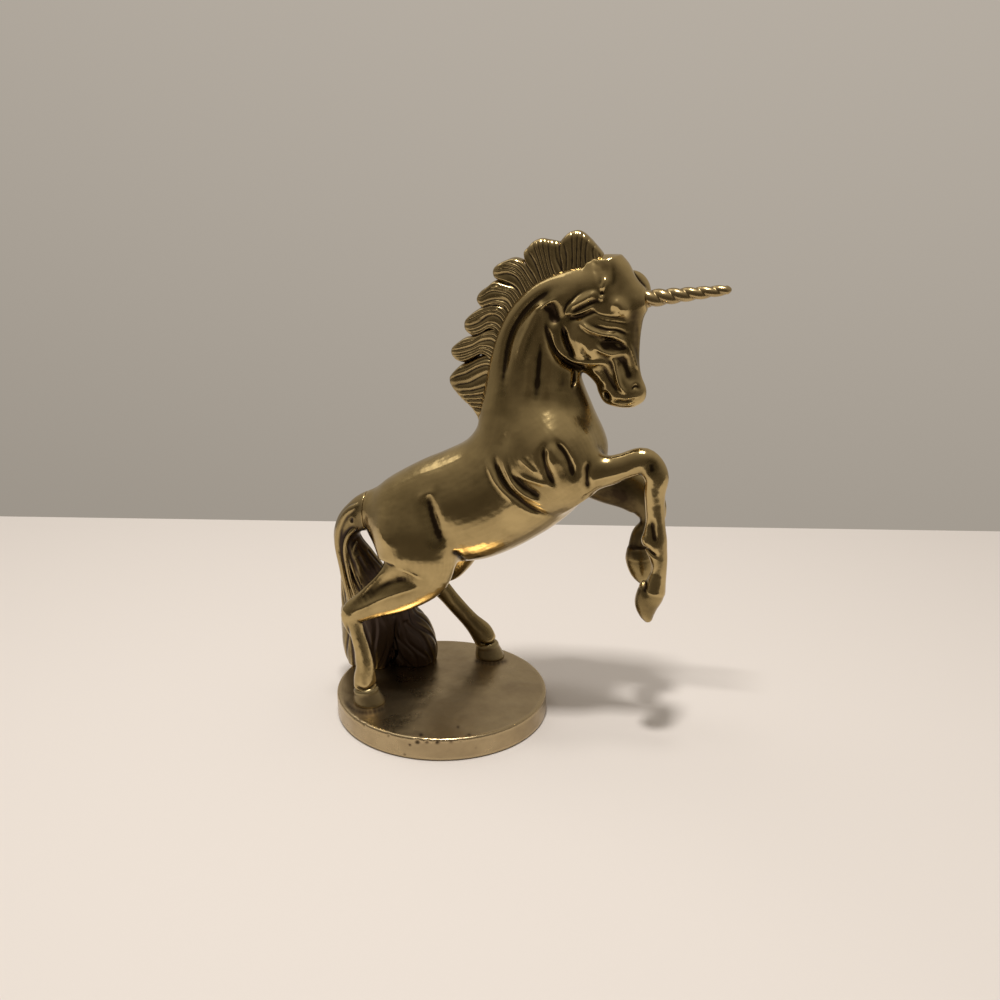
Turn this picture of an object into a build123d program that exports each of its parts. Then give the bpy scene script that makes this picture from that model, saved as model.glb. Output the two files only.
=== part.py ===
from build123d import *
import os
from math import cos, pi, sin

# A rearing unicorn in cast brass on an oval plinth.
# Frame: origin at the centre of the plinth's underside, +X the way the horn points,
# +Y to the animal's left, +Z up. Lengths are in millimetres.

# Driving dimensions
horse_height = 240.0        # plinth top to the tip of the highest mane tuft
plinth_length = 112.5
plinth_width = 104.0
plinth_thickness = 12.5
middle_offset = 6.0         # the horse's middle plane stands this far left of the plinth's centre

# Plinth
plinth_edge_radius = 2.0
plinth_foot_chamfer = 0.8

# Castings and their joints
casting_wall = 5.0
tenon_diameter = 5.0
tenon_length = 6.0
joint_clearance = 0.15
cut_overrun = 4.0

# Hooves
hoof_length = 16.5
hoof_width = 15.0
hoof_height = 8.5
coronet_length = 12.6
coronet_width = 11.0
hoof_edge_height = 1.2      # the upright band round the sole

# Screws that hold the hind hooves to the plinth
screw_diameter = 4.0
screw_reach = 4.0           # how far a screw goes into the leg above its hoof
screw_head_diameter = 7.6
screw_head_height = 2.6
screw_head_depth = 4.0      # the head's seat, above the plinth's underside
screw_slot_width = 1.0
screw_slot_depth = 1.1

# Horn
horn_length = 41.0
horn_root_diameter = 8.8
horn_tip_diameter = 4.2
horn_pitch = 13.2           # one full turn of the two-strand twist
horn_rise = 0.147           # climb of the horn for each unit forward
horn_ridge_share = 0.12
horn_tang_diameter = 3.2
horn_tang_length = 7.0

# Mane
mane_thickness = 9.0
tuft_thickness = 8.0

# Sections
trunk_steps = 2             # rings from each trunk station to the next
limb_steps = 2              # and from each station of a limb to the next
plinth_points = 44
plinth_edge_steps = 2
section_points = 12
tail_points = 24
tail_strands = 8
tuft_points = 12
tuft_strands = 4
hoof_points = 20
eye_points = 8
horn_rings_per_turn = 8
half_points = 8             # sides of half a trunk section
belly_share = 0.1           # how much fuller a trunk section is below than above
strand_depth_share = 0.06   # half the depth of the grooves between strands of hair


def place(x_share, z_share, y_share=0.0):
    """A place on the horse, in shares of its height: forward, up from the plinth, and left of the middle."""
    return Vector(
        horse_height * x_share,
        middle_offset + horse_height * y_share,
        plinth_thickness + horse_height * z_share,
    )


def smoothed(stations, steps):
    """More stations on a smooth curve through the given ones, with a number of steps from each to the next."""
    last = len(stations) - 1
    result = []
    for index in range(last):
        rows = [stations[max(index - 1, 0)], *stations[index:index + 2], stations[min(index + 2, last)]]
        for step in range(steps):
            result.append(tuple(curve_value(*values, step / steps) for values in zip(*rows)))
    return result + [tuple(stations[-1])]


def curve_value(before, start, end, after, share):
    """A value on the smooth curve from start to end that also looks at the values before and after."""
    straight = (end - before) * share
    bend = (2 * before - 5 * start + 4 * end - after) * share ** 2
    return start + (straight + bend + (3 * start - before - 3 * end + after) * share ** 3) / 2


def facet(*points):
    """A flat face with the given corners."""
    return Face(Wire.make_polygon(points, close=True))


def band(first, second, closed=True):
    """Facets between two rings of points."""
    faces = []
    count = len(first)
    for index in range(count if closed else count - 1):
        after = (index + 1) % count
        faces.append(facet(first[index], first[after], second[after]))
        faces.append(facet(first[index], second[after], second[index]))
    return faces


def skin(rings):
    """A closed solid of facets over flat rings of points."""
    faces = [facet(*rings[0]), facet(*rings[-1])]
    for first, second in zip(rings, rings[1:]):
        faces += band(first, second)
    return Solid(Shell(faces))


def oval(centre, first, second, fullness_share=0.0, points=section_points, strands=0):
    """A ring of points round a centre, with two half axes given as vectors and ridges for strands of hair."""
    ring = []
    for step in range(points):
        turn = 2 * pi * step / points
        reach = 1 + strand_depth_share * (cos(strands * turn) - 1) if strands else 1
        swell = 1 - fullness_share * cos(turn)
        ring.append(centre + (first * cos(turn) + second * (sin(turn) * swell)) * reach)
    return ring


def trunk(station_shares, side, steps, inset=0.0):
    """Half of the trunk or head, flat on the middle plane and round on one side (-1 right, 1 left).

    Each station has the place of its top and of its bottom, and its half width."""
    rings = []
    for top_x, top_z, low_x, low_z, half_width in smoothed(station_shares, steps):
        top = place(top_x, top_z)
        low = place(low_x, low_z)
        centre = (top + low) * 0.5
        up = (top - low).normalized() * ((top - low).length / 2 - inset)
        out = Vector(0, side * (horse_height * half_width - inset), 0)
        ring = []
        for step in range(half_points + 1):
            turn = pi * step / half_points
            swell = 1 - belly_share * cos(turn)
            ring.append(centre + up * cos(turn) + out * (sin(turn) * swell))
        ring[-1] = centre - up
        rings.append(ring)
    seam = [ring[0] for ring in rings] + [ring[-1] for ring in reversed(rings)]
    faces = [facet(*seam), facet(*rings[0]), facet(*rings[-1])]
    for first, second in zip(rings, rings[1:]):
        faces += band(first, second, closed=False)
    return Solid(Shell(faces))


def limb_rings(station_shares, steps=limb_steps, points=section_points, strands=0):
    """Rings along a limb: each station has a centre (forward, up, left), a depth and a width."""
    stations = smoothed(station_shares, steps)
    centres = [place(x, z, y) for x, z, y, depth, width in stations]
    rings = []
    for index, (x, z, y, depth, width) in enumerate(stations):
        before = centres[max(index - 1, 0)]
        after = centres[min(index + 1, len(centres) - 1)]
        along = (after - before).normalized()
        fore = along.cross(Vector(0, -1, 0)).normalized()
        side = along.cross(fore)
        half_depth = horse_height * depth / 2
        half_width = horse_height * width / 2
        rings.append(oval(centres[index], fore * half_depth, side * half_width, 0.0, points, strands))
    return rings


def limb(station_shares, steps=limb_steps, points=section_points):
    """A limb of facets along its stations."""
    return skin(limb_rings(station_shares, steps, points))


def joint_plane(station_shares, index):
    """The plane across a limb at one of its stations, facing down the limb."""
    x, z, y = station_shares[index][:3]
    before = place(*station_shares[index - 1][:3])
    after = place(*station_shares[index + 1][:3])
    return Plane(origin=place(x, z, y), x_dir=(0, 1, 0), z_dir=after - before)


def beyond(plane):
    """A block that fills the far side of a plane."""
    block = Box(horse_height, horse_height, horse_height, align=(Align.CENTER, Align.CENTER, Align.MIN))
    return plane * block


def peg(plane, diameter, length, overlap=0.0):
    """A round peg that stands back from a plane, against the way the plane faces."""
    rod = Cylinder(diameter / 2, length + overlap, align=(Align.CENTER, Align.CENTER, Align.MAX))
    return plane * Pos(0, 0, overlap) * rod


# Trunk from the tail root to the poll: top x and z, bottom x and z, half width
trunk_shares = [
    (-0.165, 0.427, -0.166, 0.358, 0.030),
    (-0.146, 0.445, -0.125, 0.312, 0.066),
    (-0.117, 0.474, -0.058, 0.285, 0.088),
    (-0.046, 0.517, 0.038, 0.303, 0.094),
    (0.012, 0.545, 0.113, 0.320, 0.102),
    (0.056, 0.570, 0.196, 0.365, 0.100),
    (0.080, 0.600, 0.275, 0.427, 0.098),
    (0.086, 0.629, 0.333, 0.506, 0.092),
    (0.090, 0.660, 0.350, 0.577, 0.080),
    (0.099, 0.696, 0.320, 0.650, 0.066),
    (0.108, 0.738, 0.296, 0.705, 0.056),
    (0.123, 0.787, 0.286, 0.742, 0.051),
    (0.150, 0.846, 0.273, 0.778, 0.047),
    (0.190, 0.890, 0.275, 0.815, 0.045),
    (0.245, 0.921, 0.292, 0.845, 0.042),
    (0.305, 0.938, 0.333, 0.873, 0.036),
]

# Head from the forelock down to the lips: face x and z, jaw x and z, half width
head_shares = [
    (0.362, 0.953, 0.312, 0.942, 0.026),
    (0.383, 0.922, 0.291, 0.897, 0.038),
    (0.407, 0.888, 0.258, 0.842, 0.043),
    (0.409, 0.845, 0.234, 0.796, 0.043),
    (0.405, 0.800, 0.238, 0.757, 0.040),
    (0.405, 0.755, 0.283, 0.737, 0.031),
    (0.410, 0.725, 0.318, 0.708, 0.026),
    (0.421, 0.697, 0.327, 0.687, 0.026),
    (0.418, 0.675, 0.339, 0.668, 0.022),
    (0.400, 0.661, 0.360, 0.660, 0.012),
]

# Hind legs: centre forward, up and left, then depth and width
right_hind_shares = [
    (-0.055, 0.430, -0.045, 0.090, 0.050),
    (-0.046, 0.385, -0.060, 0.160, 0.088),
    (-0.035, 0.340, -0.072, 0.171, 0.088),
    (-0.038, 0.300, -0.077, 0.150, 0.075),
    (-0.077, 0.256, -0.087, 0.106, 0.056),
    (-0.129, 0.225, -0.100, 0.070, 0.042),
    (-0.169, 0.200, -0.110, 0.052, 0.037),
    (-0.163, 0.165, -0.115, 0.037, 0.030),
    (-0.150, 0.125, -0.120, 0.036, 0.029),
    (-0.142, 0.087, -0.123, 0.040, 0.033),
    (-0.142, 0.058, -0.125, 0.050, 0.040),
    (-0.143, 0.0354, -0.125, 0.050, 0.044),
]
left_hind_shares = [
    (-0.050, 0.430, 0.045, 0.090, 0.050),
    (-0.035, 0.385, 0.060, 0.158, 0.088),
    (-0.017, 0.340, 0.072, 0.168, 0.088),
    (-0.008, 0.298, 0.079, 0.145, 0.073),
    (-0.020, 0.252, 0.090, 0.102, 0.056),
    (-0.044, 0.218, 0.104, 0.070, 0.044),
    (-0.052, 0.188, 0.118, 0.054, 0.038),
    (-0.030, 0.156, 0.126, 0.043, 0.033),
    (-0.002, 0.121, 0.130, 0.041, 0.032),
    (0.027, 0.088, 0.133, 0.042, 0.034),
    (0.052, 0.060, 0.135, 0.054, 0.042),
    (0.065, 0.034, 0.135, 0.052, 0.045),
]
hind_root_steps = 4        # stations of a hind leg that are cast with the body

# Forelegs, from inside the shoulder to the coronet
right_fore_shares = [
    (0.250, 0.535, -0.058, 0.105, 0.058),
    (0.300, 0.536, -0.058, 0.082, 0.056),
    (0.358, 0.545, -0.058, 0.062, 0.048),
    (0.388, 0.556, -0.058, 0.053, 0.043),
    (0.428, 0.569, -0.058, 0.054, 0.043),
    (0.452, 0.542, -0.058, 0.050, 0.040),
    (0.452, 0.500, -0.058, 0.041, 0.034),
    (0.456, 0.448, -0.058, 0.038, 0.030),
    (0.457, 0.405, -0.058, 0.049, 0.035),
    (0.466, 0.368, -0.058, 0.036, 0.031),
    (0.466, 0.330, -0.058, 0.036, 0.033),
    (0.457, 0.300, -0.058, 0.050, 0.041),
]
left_fore_shares = [
    (0.265, 0.520, 0.060, 0.080, 0.050),
    (0.303, 0.506, 0.060, 0.080, 0.056),
    (0.345, 0.492, 0.058, 0.073, 0.050),
    (0.392, 0.478, 0.058, 0.058, 0.044),
    (0.436, 0.462, 0.057, 0.056, 0.043),
    (0.449, 0.432, 0.054, 0.046, 0.038),
    (0.434, 0.400, 0.049, 0.039, 0.033),
    (0.418, 0.374, 0.045, 0.045, 0.036),
    (0.412, 0.347, 0.042, 0.040, 0.033),
    (0.414, 0.325, 0.040, 0.046, 0.038),
]
fore_root_steps = 2        # and of a foreleg

# Front hooves, from the coronet to the toe
right_fore_hoof_shares = [
    (0.460, 0.312, -0.058, 0.052, 0.042),
    (0.455, 0.296, -0.058, 0.054, 0.046),
    (0.444, 0.268, -0.058, 0.050, 0.046),
    (0.442, 0.245, -0.058, 0.036, 0.036),
    (0.448, 0.228, -0.058, 0.016, 0.020),
]
left_fore_hoof_shares = [
    (0.412, 0.340, 0.041, 0.044, 0.038),
    (0.413, 0.324, 0.040, 0.052, 0.044),
    (0.420, 0.298, 0.039, 0.046, 0.043),
    (0.427, 0.278, 0.038, 0.030, 0.032),
    (0.431, 0.265, 0.038, 0.012, 0.016),
]

# Swell of the shoulder, from the withers down to the chest
shoulder_shares = [
    (0.180, 0.650, 0.035, 0.060, 0.040),
    (0.205, 0.610, 0.050, 0.140, 0.085),
    (0.240, 0.560, 0.058, 0.185, 0.100),
    (0.275, 0.515, 0.060, 0.150, 0.085),
    (0.300, 0.480, 0.050, 0.080, 0.050),
]

# Ears, almond eyes and the seat of the horn
ear_shares = [
    (0.335, 0.880, 0.032, 0.016, 0.018),
    (0.317, 0.879, 0.037, 0.029, 0.019),
    (0.297, 0.868, 0.041, 0.031, 0.016),
    (0.277, 0.855, 0.043, 0.020, 0.011),
    (0.262, 0.844, 0.043, 0.006, 0.005),
]
eye_shares = [
    (0.363, 0.808, 0.031, 0.008, 0.008),
    (0.365, 0.800, 0.036, 0.018, 0.014),
    (0.368, 0.790, 0.038, 0.023, 0.017),
    (0.370, 0.780, 0.036, 0.017, 0.013),
    (0.371, 0.772, 0.031, 0.008, 0.008),
]
horn_seat_share = (0.403, 0.871)

# Mane: the crest that carries it, then each tuft's root, middle and tip with their lengths along the neck
crest_shares = [
    (0.327, 0.937, 0.020),
    (0.290, 0.935, 0.026),
    (0.232, 0.918, 0.030),
    (0.177, 0.880, 0.032),
    (0.143, 0.833, 0.032),
    (0.120, 0.783, 0.032),
    (0.104, 0.729, 0.032),
    (0.093, 0.676, 0.026),
    (0.087, 0.645, 0.016),
]
tuft_shares = [
    ((0.292, 0.925), (0.290, 0.972), (0.277, 0.994), 0.072),
    ((0.232, 0.905), (0.219, 0.955), (0.207, 0.977), 0.074),
    ((0.180, 0.872), (0.146, 0.910), (0.121, 0.922), 0.068),
    ((0.148, 0.830), (0.110, 0.858), (0.086, 0.864), 0.060),
    ((0.125, 0.780), (0.085, 0.802), (0.062, 0.806), 0.062),
    ((0.108, 0.728), (0.060, 0.748), (0.033, 0.752), 0.064),
    ((0.098, 0.680), (0.052, 0.690), (0.030, 0.700), 0.070),
]

# Tail: centre forward, up and left, then depth and width
tail_shares = [
    (-0.190, 0.384, 0.000, 0.064, 0.060),
    (-0.212, 0.350, 0.002, 0.056, 0.060),
    (-0.212, 0.305, 0.006, 0.064, 0.066),
    (-0.196, 0.255, 0.013, 0.090, 0.076),
    (-0.185, 0.205, 0.025, 0.108, 0.088),
    (-0.178, 0.150, 0.042, 0.138, 0.100),
    (-0.172, 0.095, 0.052, 0.150, 0.108),
    (-0.168, 0.045, 0.056, 0.146, 0.108),
    (-0.166, 0.000, 0.056, 0.100, 0.080),
]
brush_lobe_shares = [
    (-0.150, 0.230, 0.030, 0.050, 0.050),
    (-0.118, 0.165, 0.055, 0.075, 0.080),
    (-0.090, 0.110, 0.075, 0.090, 0.100),
    (-0.082, 0.060, 0.082, 0.088, 0.100),
    (-0.088, 0.020, 0.080, 0.080, 0.090),
    (-0.092, 0.000, 0.080, 0.060, 0.070),
]

# Hollow core of the trunk: the stations it passes, inside the casting's wall
core_shares = trunk_shares[2:12]


def plinth_ring(inset, height):
    """The plinth's oval outline at a height, drawn in by an inset."""
    half_axes = (Vector(plinth_length / 2 - inset, 0, 0), Vector(0, plinth_width / 2 - inset, 0))
    return oval(Vector(0, 0, height), *half_axes, points=plinth_points)


def make_plinth():
    """An oval plate with a chamfered foot and a rounded top edge, bored from below for the two screws."""
    rings = [plinth_ring(plinth_foot_chamfer, 0), plinth_ring(0, plinth_foot_chamfer)]
    for step in range(plinth_edge_steps + 1):
        turn = pi / 2 * step / plinth_edge_steps
        inset = plinth_edge_radius * (1 - cos(turn))
        rings.append(plinth_ring(inset, plinth_thickness - plinth_edge_radius * (1 - sin(turn))))
    plate = skin(rings)
    for centre in hoof_centres():
        hole = Cylinder(
            screw_diameter / 2 + joint_clearance,
            plinth_thickness + cut_overrun,
            align=(Align.CENTER, Align.CENTER, Align.MIN),
        )
        recess = Cylinder(
            screw_head_diameter / 2 + joint_clearance,
            screw_head_depth,
            align=(Align.CENTER, Align.CENTER, Align.MIN),
        )
        plate -= Pos(centre.X, centre.Y, 0) * (hole + recess)
    return plate


def coronet_plane(station_shares):
    """The plane where a hind leg meets its hoof, facing down."""
    last = smoothed(station_shares, limb_steps)[-2:]
    before, end = [place(x, z, y) for x, z, y, depth, width in last]
    return Plane(origin=end, x_dir=(0, 1, 0), z_dir=end - before)


def hoof_centres():
    """Where the two hind hooves stand on the plinth: right, then left."""
    centres = []
    for station_shares in (right_hind_shares, left_hind_shares):
        x, z, y = station_shares[-1][:3]
        top = place(x, z, y)
        centres.append(Vector(top.X + (hoof_length - coronet_length) / 2, top.Y, plinth_thickness))
    return centres


def make_hoof(station_shares, centre):
    """A hind hoof that widens to a flat sole, bored for its screw."""
    plane = coronet_plane(station_shares)
    along = plane.z_dir
    fore = along.cross(Vector(0, 1, 0)).normalized()
    side = fore.cross(along)
    crown = oval(plane.origin, fore * (coronet_length / 2), side * (coronet_width / 2), points=hoof_points)
    half_axes = (Vector(hoof_length / 2, 0, 0), Vector(0, hoof_width / 2, 0))
    sole = oval(centre, *half_axes, points=hoof_points)
    edge = oval(centre + Vector(0, 0, hoof_edge_height), *half_axes, points=hoof_points)
    return skin([crown, edge, sole]) - screw_hole(centre)


def screw_hole(centre):
    """The clearance hole for a screw that comes up through the plinth."""
    length = 2 * (hoof_height + screw_reach)
    bore = Cylinder(
        screw_diameter / 2 + joint_clearance, length, align=(Align.CENTER, Align.CENTER, Align.CENTER)
    )
    return Pos(centre.X, centre.Y, plinth_thickness) * bore


def make_screws():
    """Two slotted screws that hold the hooves down, as one group."""
    shank_length = plinth_thickness - screw_head_depth + hoof_height + screw_reach - joint_clearance
    screws = []
    for centre in hoof_centres():
        shank = Cylinder(screw_diameter / 2, shank_length, align=(Align.CENTER, Align.CENTER, Align.MIN))
        head = Cylinder(
            screw_head_diameter / 2, screw_head_height, align=(Align.CENTER, Align.CENTER, Align.MAX)
        )
        slot = Box(
            screw_head_diameter + cut_overrun,
            screw_slot_width,
            screw_slot_depth,
            align=(Align.CENTER, Align.CENTER, Align.MIN),
        )
        screw = shank + head - Pos(0, 0, -screw_head_height) * slot
        screws.append(Pos(centre.X, centre.Y, screw_head_depth) * screw)
    return Compound(children=screws)


def split_limb(station_shares, index):
    """A limb's loft cut at a station: the root that is cast with the body, and the leg."""
    whole = limb(station_shares)
    far_side = beyond(joint_plane(station_shares, index))
    return whole - far_side, whole & far_side


def tenon(plane):
    """The tenon of a leg, which goes up into the body."""
    return peg(plane, tenon_diameter, tenon_length - joint_clearance, overlap=joint_clearance)


def ear(side):
    """One ear, laid back along the neck."""
    return limb([(x, z, side * y, depth, width) for x, z, y, depth, width in ear_shares])


def shoulder(side):
    """The swell of one shoulder, from the withers down to the chest."""
    return limb([(x, z, side * y, depth, width) for x, z, y, depth, width in shoulder_shares])


def eye(side):
    """One almond-shaped eye."""
    return limb([(x, z, side * y, depth, width) for x, z, y, depth, width in eye_shares], 1, eye_points)


def horn_plane():
    """The flat seat of the horn on the forehead, facing along the horn."""
    return Plane(origin=place(*horn_seat_share), x_dir=(0, 1, 0), z_dir=(1, 0, horn_rise))


def make_horn():
    """A tapered horn twisted of two strands, with the tang that goes into the forehead."""
    plane = horn_plane()
    steps = round(horn_length / horn_pitch * horn_rings_per_turn)
    rings = []
    for step in range(steps + 1):
        share = step / steps
        radius = (horn_root_diameter + (horn_tip_diameter - horn_root_diameter) * share) / 2
        spin = 2 * pi * horn_length * share / horn_pitch
        ring = []
        for corner in range(section_points):
            turn = 2 * pi * corner / section_points
            reach = radius * (1 - horn_ridge_share + horn_ridge_share * cos(2 * (turn - spin)))
            local = Vector(reach * cos(turn), reach * sin(turn), horn_length * share)
            ring.append(plane.from_local_coords(local))
        rings.append(ring)
    return skin(rings) + peg(plane, horn_tang_diameter, horn_tang_length, overlap=joint_clearance)


def tuft(root, middle, tip, length_share):
    """One scalloped tuft of the mane, from the crest out to its tip."""
    stations = smoothed([(*root, 1.0), (*middle, 0.80), (*tip, 0.30)], 3)
    centres = [place(x, z) for x, z, shrink in stations]
    rings = []
    for index, (x, z, shrink) in enumerate(stations):
        before = centres[max(index - 1, 0)]
        after = centres[min(index + 1, len(centres) - 1)]
        across = (after - before).normalized().cross(Vector(0, -1, 0))
        half_length = horse_height * length_share * shrink / 2
        half_width = tuft_thickness * (1 + shrink) / 4
        half_axes = (across * half_length, Vector(0, half_width, 0))
        rings.append(oval(centres[index], *half_axes, points=tuft_points, strands=tuft_strands))
    return skin(rings)


def make_mane():
    """The mane: a crest strip with seven tufts, before it is fitted over the neck."""
    stations = smoothed(crest_shares, 2)
    centres = [place(x, z) for x, z, depth in stations]
    rings = []
    for index, (x, z, depth) in enumerate(stations):
        before = centres[max(index - 1, 0)]
        after = centres[min(index + 1, len(centres) - 1)]
        out = (after - before).normalized().cross(Vector(0, 1, 0))
        rings.append(oval(centres[index], out * (horse_height * depth), Vector(0, mane_thickness / 2, 0)))
    return skin(rings) + [tuft(*shares) for shares in tuft_shares]


def make_tail():
    """The tail: its dock in line with the croup, and a brush of two lobes that rests on the plinth."""
    top_x, top_z, low_x, low_z, half_width = trunk_shares[0]
    top = place(top_x, top_z)
    low = place(low_x, low_z)
    across = Vector(0, horse_height * half_width, 0)
    root = oval((top + low) * 0.5, (low - top) * 0.5, across, -belly_share, tail_points)
    tail = skin([root, *limb_rings(tail_shares, limb_steps, tail_points, tail_strands)])
    lobe = skin(limb_rings(brush_lobe_shares, limb_steps, tail_points, tail_strands))
    ground = Box(
        2 * horse_height,
        2 * horse_height,
        plinth_thickness,
        align=(Align.CENTER, Align.CENTER, Align.MIN),
    )
    return tail + lobe - ground


def half_body(side, leg_roots):
    """One half of the trunk, neck and head, with the roots of its two legs."""
    half = trunk(trunk_shares, side, trunk_steps)
    return half + [trunk(head_shares, side, trunk_steps), *leg_roots, shoulder(side), ear(side), eye(side)]


def body_shell(half, side, leg_planes):
    """A half of the body made hollow, with sockets for the tenons and the seat of the horn."""
    seat = horn_plane()
    spot = Cylinder(
        horn_root_diameter / 2 + joint_clearance, cut_overrun, align=(Align.CENTER, Align.CENTER, Align.MIN)
    )
    tang_bore = horn_tang_diameter + 2 * joint_clearance
    cuts = [
        trunk(core_shares, side, 1, inset=casting_wall),
        seat * spot,
        peg(seat, tang_bore, horn_tang_length + joint_clearance, overlap=joint_clearance),
    ]
    for plane in leg_planes:
        cuts.append(peg(plane, tenon_diameter + 2 * joint_clearance, tenon_length, overlap=joint_clearance))
    return half - cuts


def main():
    os.makedirs("parts", exist_ok=True)
    right_centre, left_centre = hoof_centres()
    right_root, right_hind = split_limb(right_hind_shares, hind_root_steps)
    left_root, left_hind = split_limb(left_hind_shares, hind_root_steps)
    right_shoulder, right_fore = split_limb(right_fore_shares, fore_root_steps)
    left_shoulder, left_fore = split_limb(left_fore_shares, fore_root_steps)
    right_hind_plane = joint_plane(right_hind_shares, hind_root_steps)
    left_hind_plane = joint_plane(left_hind_shares, hind_root_steps)
    right_fore_plane = joint_plane(right_fore_shares, fore_root_steps)
    left_fore_plane = joint_plane(left_fore_shares, fore_root_steps)
    right_half = half_body(-1, [right_root, right_shoulder])
    left_half = half_body(1, [left_root, left_shoulder])
    parts = {
        "plinth": make_plinth(),
        "right_body_shell": body_shell(right_half, -1, [right_hind_plane, right_fore_plane]),
        "left_body_shell": body_shell(left_half, 1, [left_hind_plane, left_fore_plane]),
        "right_hind_leg": right_hind + tenon(right_hind_plane) - screw_hole(right_centre),
        "left_hind_leg": left_hind + tenon(left_hind_plane) - screw_hole(left_centre),
        "right_foreleg": right_fore + tenon(right_fore_plane) + limb(right_fore_hoof_shares),
        "left_foreleg": left_fore + tenon(left_fore_plane) + limb(left_fore_hoof_shares),
        "right_hind_hoof": make_hoof(right_hind_shares, right_centre),
        "left_hind_hoof": make_hoof(left_hind_shares, left_centre),
        "mane": make_mane() - right_half - left_half,
        "horn": make_horn(),
        "tail": make_tail(),
        "hoof_screws": make_screws(),
    }
    for name, part in parts.items():
        export_step(part, f"parts/{name}.step")
        print(name, "volume", round(part.volume, 1))


main()
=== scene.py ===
import bpy
import numpy as np
import openvdb as vdb
from math import cos, pi, radians, sin
from mathutils import Euler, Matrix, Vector


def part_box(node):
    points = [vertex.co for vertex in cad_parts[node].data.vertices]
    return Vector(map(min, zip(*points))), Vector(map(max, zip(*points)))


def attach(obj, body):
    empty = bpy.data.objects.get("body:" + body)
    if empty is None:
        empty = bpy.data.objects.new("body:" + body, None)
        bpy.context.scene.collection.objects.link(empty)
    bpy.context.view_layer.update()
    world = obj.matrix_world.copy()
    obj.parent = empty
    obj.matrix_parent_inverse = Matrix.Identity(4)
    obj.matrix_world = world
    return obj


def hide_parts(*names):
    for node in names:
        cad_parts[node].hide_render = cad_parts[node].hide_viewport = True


# The looks of a rearing unicorn in cast brass. It is sculpted in clay, a grid of distances to its surface
# in millimetres, and each sculpted piece is then turned into a mesh in metres.

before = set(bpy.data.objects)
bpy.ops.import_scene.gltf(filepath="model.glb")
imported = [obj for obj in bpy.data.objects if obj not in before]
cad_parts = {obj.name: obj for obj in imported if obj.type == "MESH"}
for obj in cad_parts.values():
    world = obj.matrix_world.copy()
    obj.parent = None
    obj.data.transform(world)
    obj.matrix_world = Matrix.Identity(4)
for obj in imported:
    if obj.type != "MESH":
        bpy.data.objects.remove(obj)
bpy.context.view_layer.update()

# Sizes, in millimetres
metre = 1000.0
plinth_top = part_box("plinth")[1].z * metre
horse_height = 240.0
middle = 6.0  # how far left of the plinth's centre the horse's middle plane stands
band_radius = 4.6  # raised band along the crest
eye_left = -3.0  # the plane that the eye is placed on
eye_height = 3.6
eye_sink = 0.9
eye_bulge = 0.8  # how far its corners lie behind its middle
tuft_half_width = 4.3
tuft_edge = 0.45  # half a tuft's least thickness
strand_depth = 0.95  # grooves between the strands of the mane
tail_seam = -39.7  # where the tail meets the body
seam_gap = 0.04  # half the gap there
dock_height = 88.0  # the tail is cut along its seam above this height
foot_gap = 0.05  # between the tail and the plinth
horn_length = 42.0
horn_root_radius = 4.4
horn_tip_radius = 2.1
horn_pitch = 13.2
hoof_length = 16.5
hoof_width = 15.0
hoof_slope = 1.2  # how much higher the coronet is in front
hoof_lean = 2.0  # how far forward of the coronet the sole stands
plinth_bevel = 0.8  # lower edge
plinth_rounding = 1.3  # upper edge

# Fillets where forms meet
least_fillet = 0.5
tail_fillet = 3.0
lobe_fillet = 1.5
shoulder_fillet = 7.0
head_fillet = 4.0
ear_fillet = 1.0
band_fillet = 4.0
eye_fillet = 0.3
groove_fillet = 1.0
ribbon_fillet = 0.7

# Clay: how far from a surface its distances are known, and each piece's block and grain
body_grain = 0.5
reach = 7.0
legs_end = 4.0  # the body's clay begins this far above the plinth
tail_end = 3.0  # and the tail's this far inside it
body_block = ((-62, -42, plinth_top + legs_end), (124, 54, 248), body_grain)
mane_block = ((2, -6, 148), (90, 18, 256), 0.32)
tail_block = ((-64, -20, plinth_top - tail_end), (4, 46, 130), 0.4)
horn_block = ((92, -2, 212), (146, 14, 236), 0.25)
hoof_block = ((-12, -11, -2), (12, 11, 14), 0.35)
plinth_margins = (2.2, 2.0)

# How finely curves and rings are divided
limb_steps = 6
stroke_steps = 8
stain_and_light_steps = 4
groove_steps = 5
tuft_steps = 70
strand_steps = 24
rounding_steps = 7
limb_points = 40
trunk_points = 56
strand_points = 10
ribbon_points = 16
band_points = 24
horn_rings = 120
round_points = 48
plinth_points = 200

# Strokes: how many widths from its path one acts, the share of the path over which it fades, how soon it
# comes in away from the middle plane, and how far from that plane some keep
both_sides = (-1, 1)
stroke_span = 2.5
stroke_fade_share = 0.3
flank_ramp = 3.0
lid_clear = 1.0
dock_clear = 2.0

# Tarnish: how far below its smoothed self a surface lies where it begins and how much further where it is
# full, in fine grooves and broad hollows, how much it is there, and the wear of ridges
near_rounds = 8
far_rounds = 32
tarnish_rounds = 2
fine_start = 0.01
fine_range = 0.06
broad_start = 0.02
broad_range = 0.3
groove_tarnish = 0.5
hollow_tarnish = 0.6
ridge_wear = 0.35
most_wear = 0.5
stain_and_light_depth = 10.0  # how deep into the figure a stain, a painted shade or a painted highlight reaches

# Camera, solved from the photograph
camera_place = Vector((140.17, -475.56, 300.0))
camera_turn = Euler((radians(69.8755), 0.0, radians(12.8)))
lens_share = 1.048  # focal length in picture widths
picture_width = 1000.0
sensor_width = 36.0
half_picture = picture_width / 2
focal_pixels = lens_share * picture_width

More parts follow.
